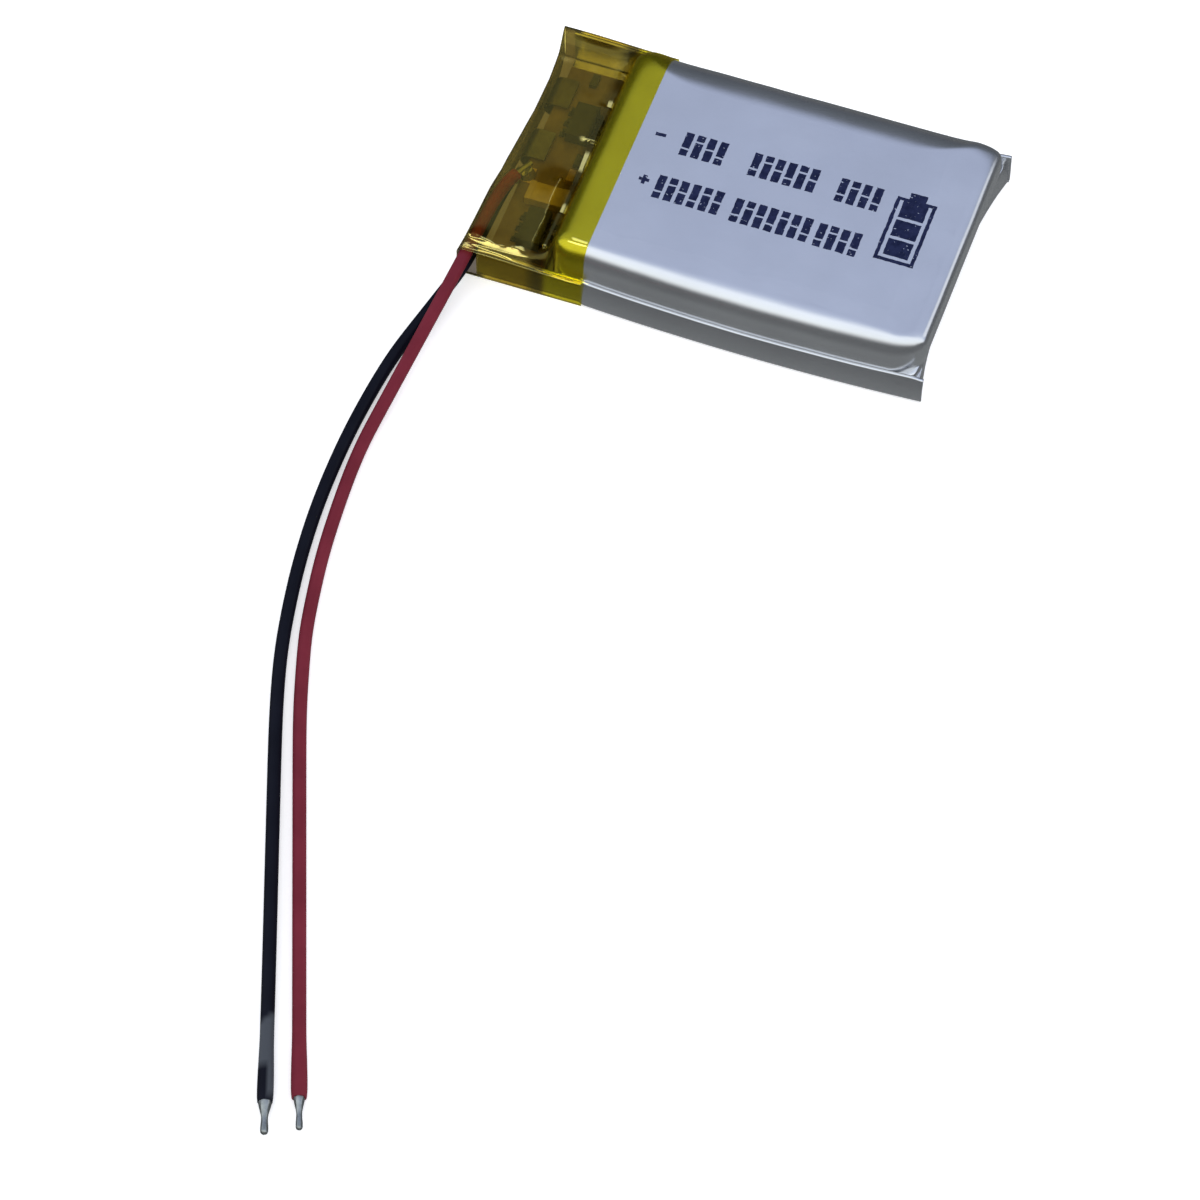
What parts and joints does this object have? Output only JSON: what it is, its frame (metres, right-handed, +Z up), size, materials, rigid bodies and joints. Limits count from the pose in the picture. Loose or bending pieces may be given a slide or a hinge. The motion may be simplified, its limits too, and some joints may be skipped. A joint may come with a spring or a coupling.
{
  "type": "pouch battery cell with lead wires",
  "caption": "Flat soft-pack lithium polymer cell with folded side seals, a protection board under a wrap of amber film at one end, and a red and a black lead with tinned bare tips.",
  "frame": {"origin": "the middle of the flat back the cell rests on", "axes": "X runs along the cell with the leads and board at -X and the folded foot at +X, Y runs across the cell with the leads leaving at -Y, Z is up out of the printed face"},
  "size_m": [0.0355, 0.0869, 0.0051],
  "materials": {
    "laminate": "satin laminate film with a pale grey-lavender cast",
    "anode_sheet": "dark matt coated copper sheet, weighed as aluminium",
    "cathode_sheet": "black matt coated aluminium sheet",
    "separator": "thin white porous film",
    "closing_tape": "thin green adhesive film",
    "aluminium_tab": "bright rolled strip",
    "nickel": "rolled nickel strip",
    "sealant": "translucent polypropylene strip",
    "insulator_paper": "insulating paper",
    "board": "solder-masked glass-epoxy board",
    "pad_metal": "gilded copper pads",
    "chip_black": "black moulding compound with tinned legs",
    "fuse_body": "pale polymer body with plated ends",
    "chip_parts": "dark glazed chip with plated ends",
    "chip_tan": "tan ceramic chip with plated ends",
    "solder": "dull solder",
    "amber_film": "clear amber polyimide film, glossy and wrinkled",
    "ink": "dark blue inkjet print",
    "red_pvc": "soft red insulation with a satin sheen",
    "black_pvc": "soft black insulation with a satin sheen",
    "tinned_copper": "tinned copper strands"
  },
  "bodies": {
    "cell": {"pouch_cup": "laminate", "pouch_back_panel": "laminate", "anode_winding": "anode_sheet", "cathode_winding": "cathode_sheet", "separator_outer": "separator", "separator_inner": "separator", "winding_closing_tape": "closing_tape", "positive_tab": "aluminium_tab", "negative_tab": "nickel", "positive_tab_sealant": "sealant", "negative_tab_sealant": "sealant", "terrace_insulator": "insulator_paper", "circuit_board": "board", "board_pads": "pad_metal", "nickel_plates": "nickel", "protection_ic": "chip_black", "mosfet_ic": "chip_black", "resettable_fuse": "fuse_body", "resistors": "chip_parts", "capacitor": "chip_tan", "solder_joints": "solder", "polyimide_wrap": "amber_film", "printed_marking": "ink", "red_root_insulation": "red_pvc", "red_root_core": "tinned_copper", "black_root_insulation": "black_pvc", "black_root_core": "tinned_copper"},
    "red_middle": {"red_middle_insulation": "red_pvc", "red_middle_core": "tinned_copper"},
    "red_end": {"red_end_insulation": "red_pvc", "red_end_core": "tinned_copper"},
    "black_middle": {"black_middle_insulation": "black_pvc", "black_middle_core": "tinned_copper"},
    "black_end": {"black_end_insulation": "black_pvc", "black_end_core": "tinned_copper"}
  },
  "joints": [
    {"name": "red_lead_swing", "type": "hinge", "parent": "cell", "child": "red_middle", "pos_m": [-0.01645, -0.0102, 0.00193], "axis": [0, 0, 1], "range_deg": [0, 50]},
    {"name": "red_lead_lift", "type": "hinge", "parent": "red_middle", "child": "red_end", "pos_m": [-0.0178, -0.0255, 0.00046], "axis": [-1, 0, 0], "range_deg": [0, 60]},
    {"name": "black_lead_swing", "type": "hinge", "parent": "cell", "child": "black_middle", "pos_m": [-0.01645, -0.0102, 0.00093], "axis": [0, 0, 1], "range_deg": [-50, 0]},
    {"name": "black_lead_lift", "type": "hinge", "parent": "black_middle", "child": "black_end", "pos_m": [-0.01835, -0.018, 0.00046], "axis": [-0.9903, 0.1392, 0], "range_deg": [0, 60]}
  ]
}
